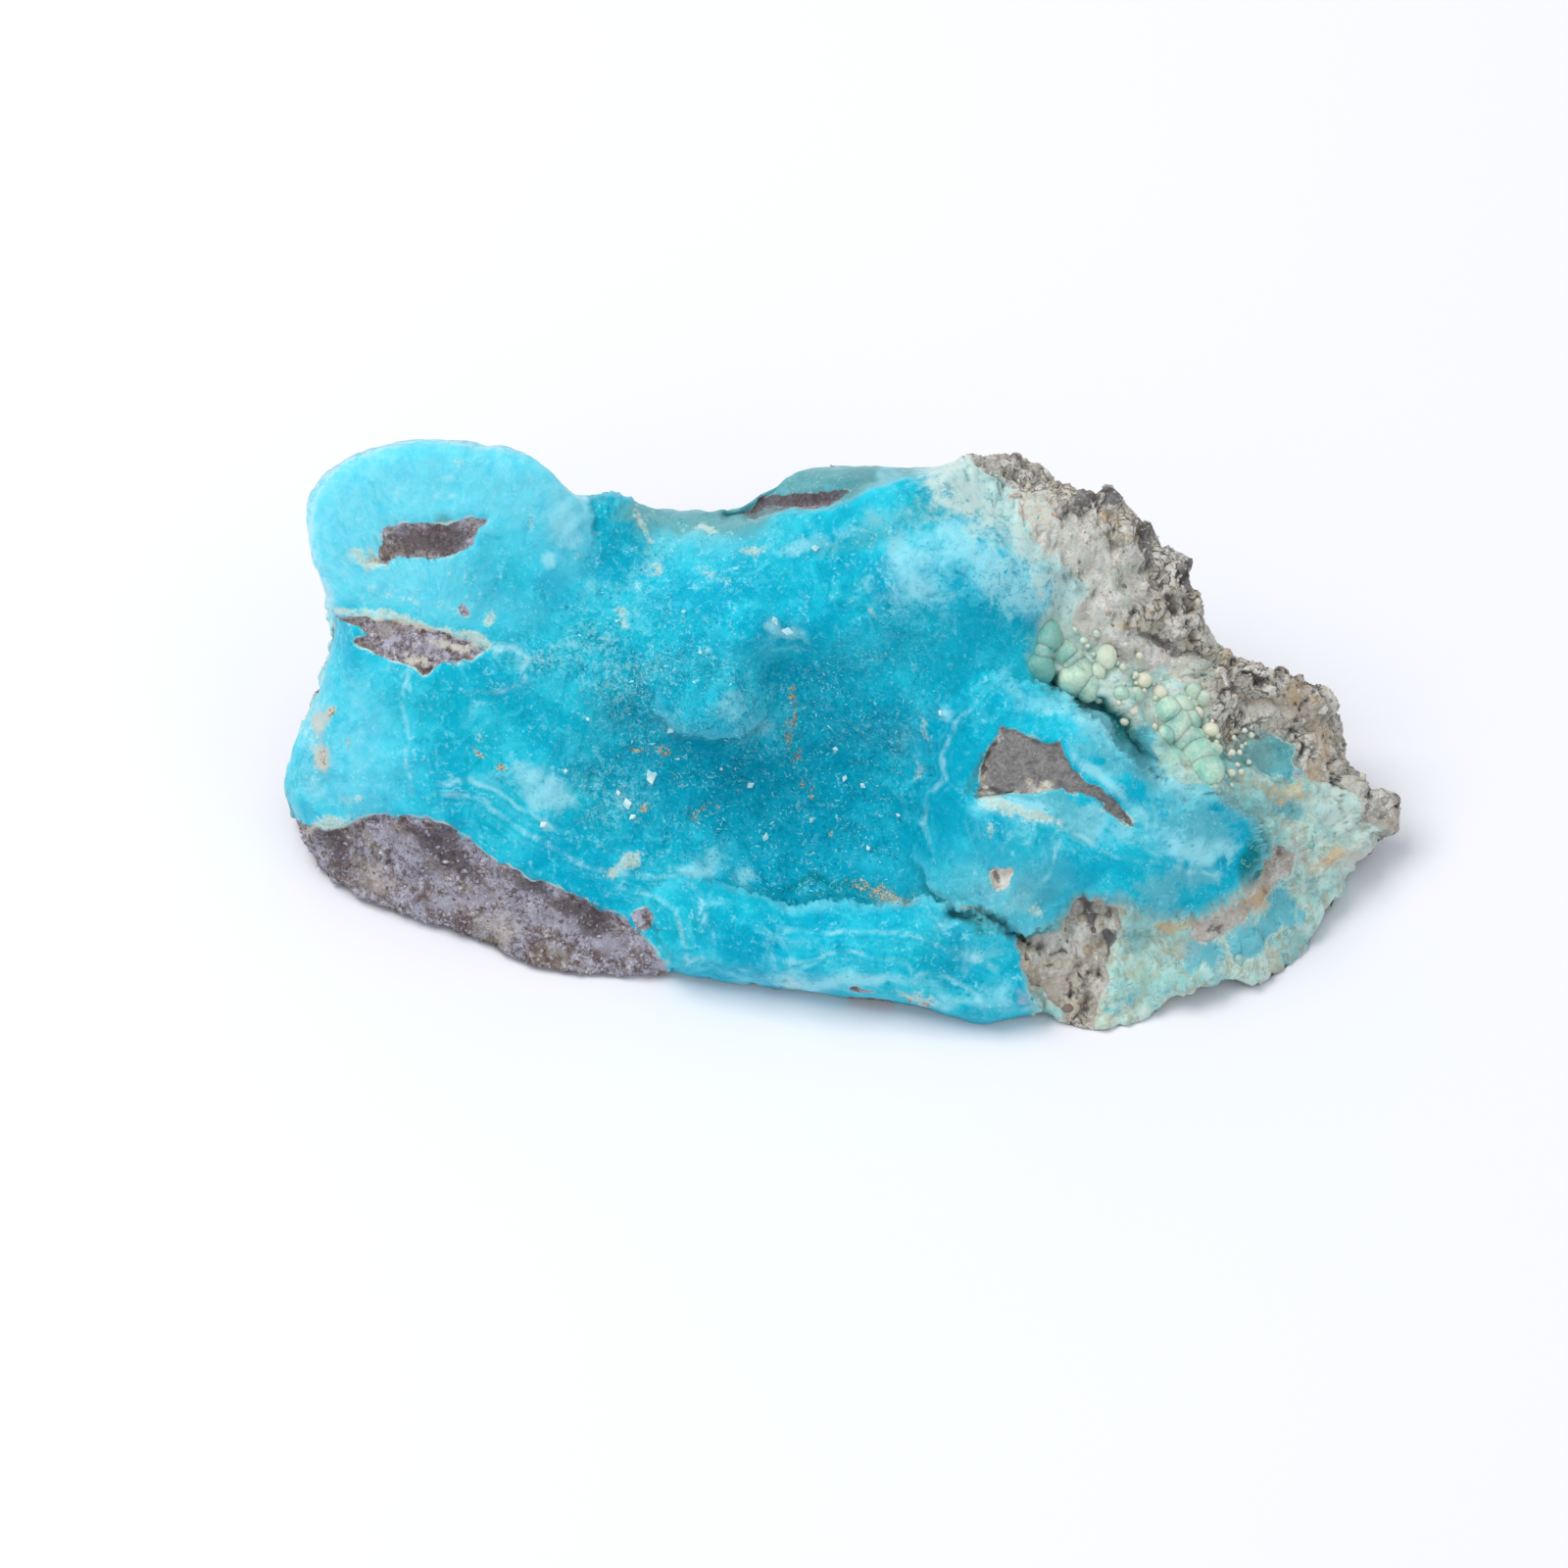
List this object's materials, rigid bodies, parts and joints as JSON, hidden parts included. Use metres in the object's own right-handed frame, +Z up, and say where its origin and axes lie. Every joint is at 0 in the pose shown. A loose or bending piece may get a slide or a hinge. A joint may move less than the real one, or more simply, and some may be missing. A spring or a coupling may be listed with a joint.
{
  "type": "hemimorphite specimen",
  "caption": "Broken lump of vein rock with a waxy blue hemimorphite crust over its sloping face and an upright lobe at one end, lying on a flat base.",
  "frame": {"origin": "on the table under the middle of the specimen's bounding box", "axes": "+X to the right along the crusted face, +Y from the face towards the broken rear, +Z up from the flat base"},
  "size_m": [0.0612, 0.0294, 0.0213],
  "materials": {
    "blue_crust": "waxy to satin, slightly translucent, with milky growth bands and fine druse that sparkles",
    "vein_rock": "matt, granular and pitted, grey-brown with pale and purple-brown grains",
    "green_globules": "waxy pale green beads, slightly translucent"
  },
  "bodies": {
    "root": {"hemimorphite_specimen": "blue_crust"}
  },
  "joints": []
}
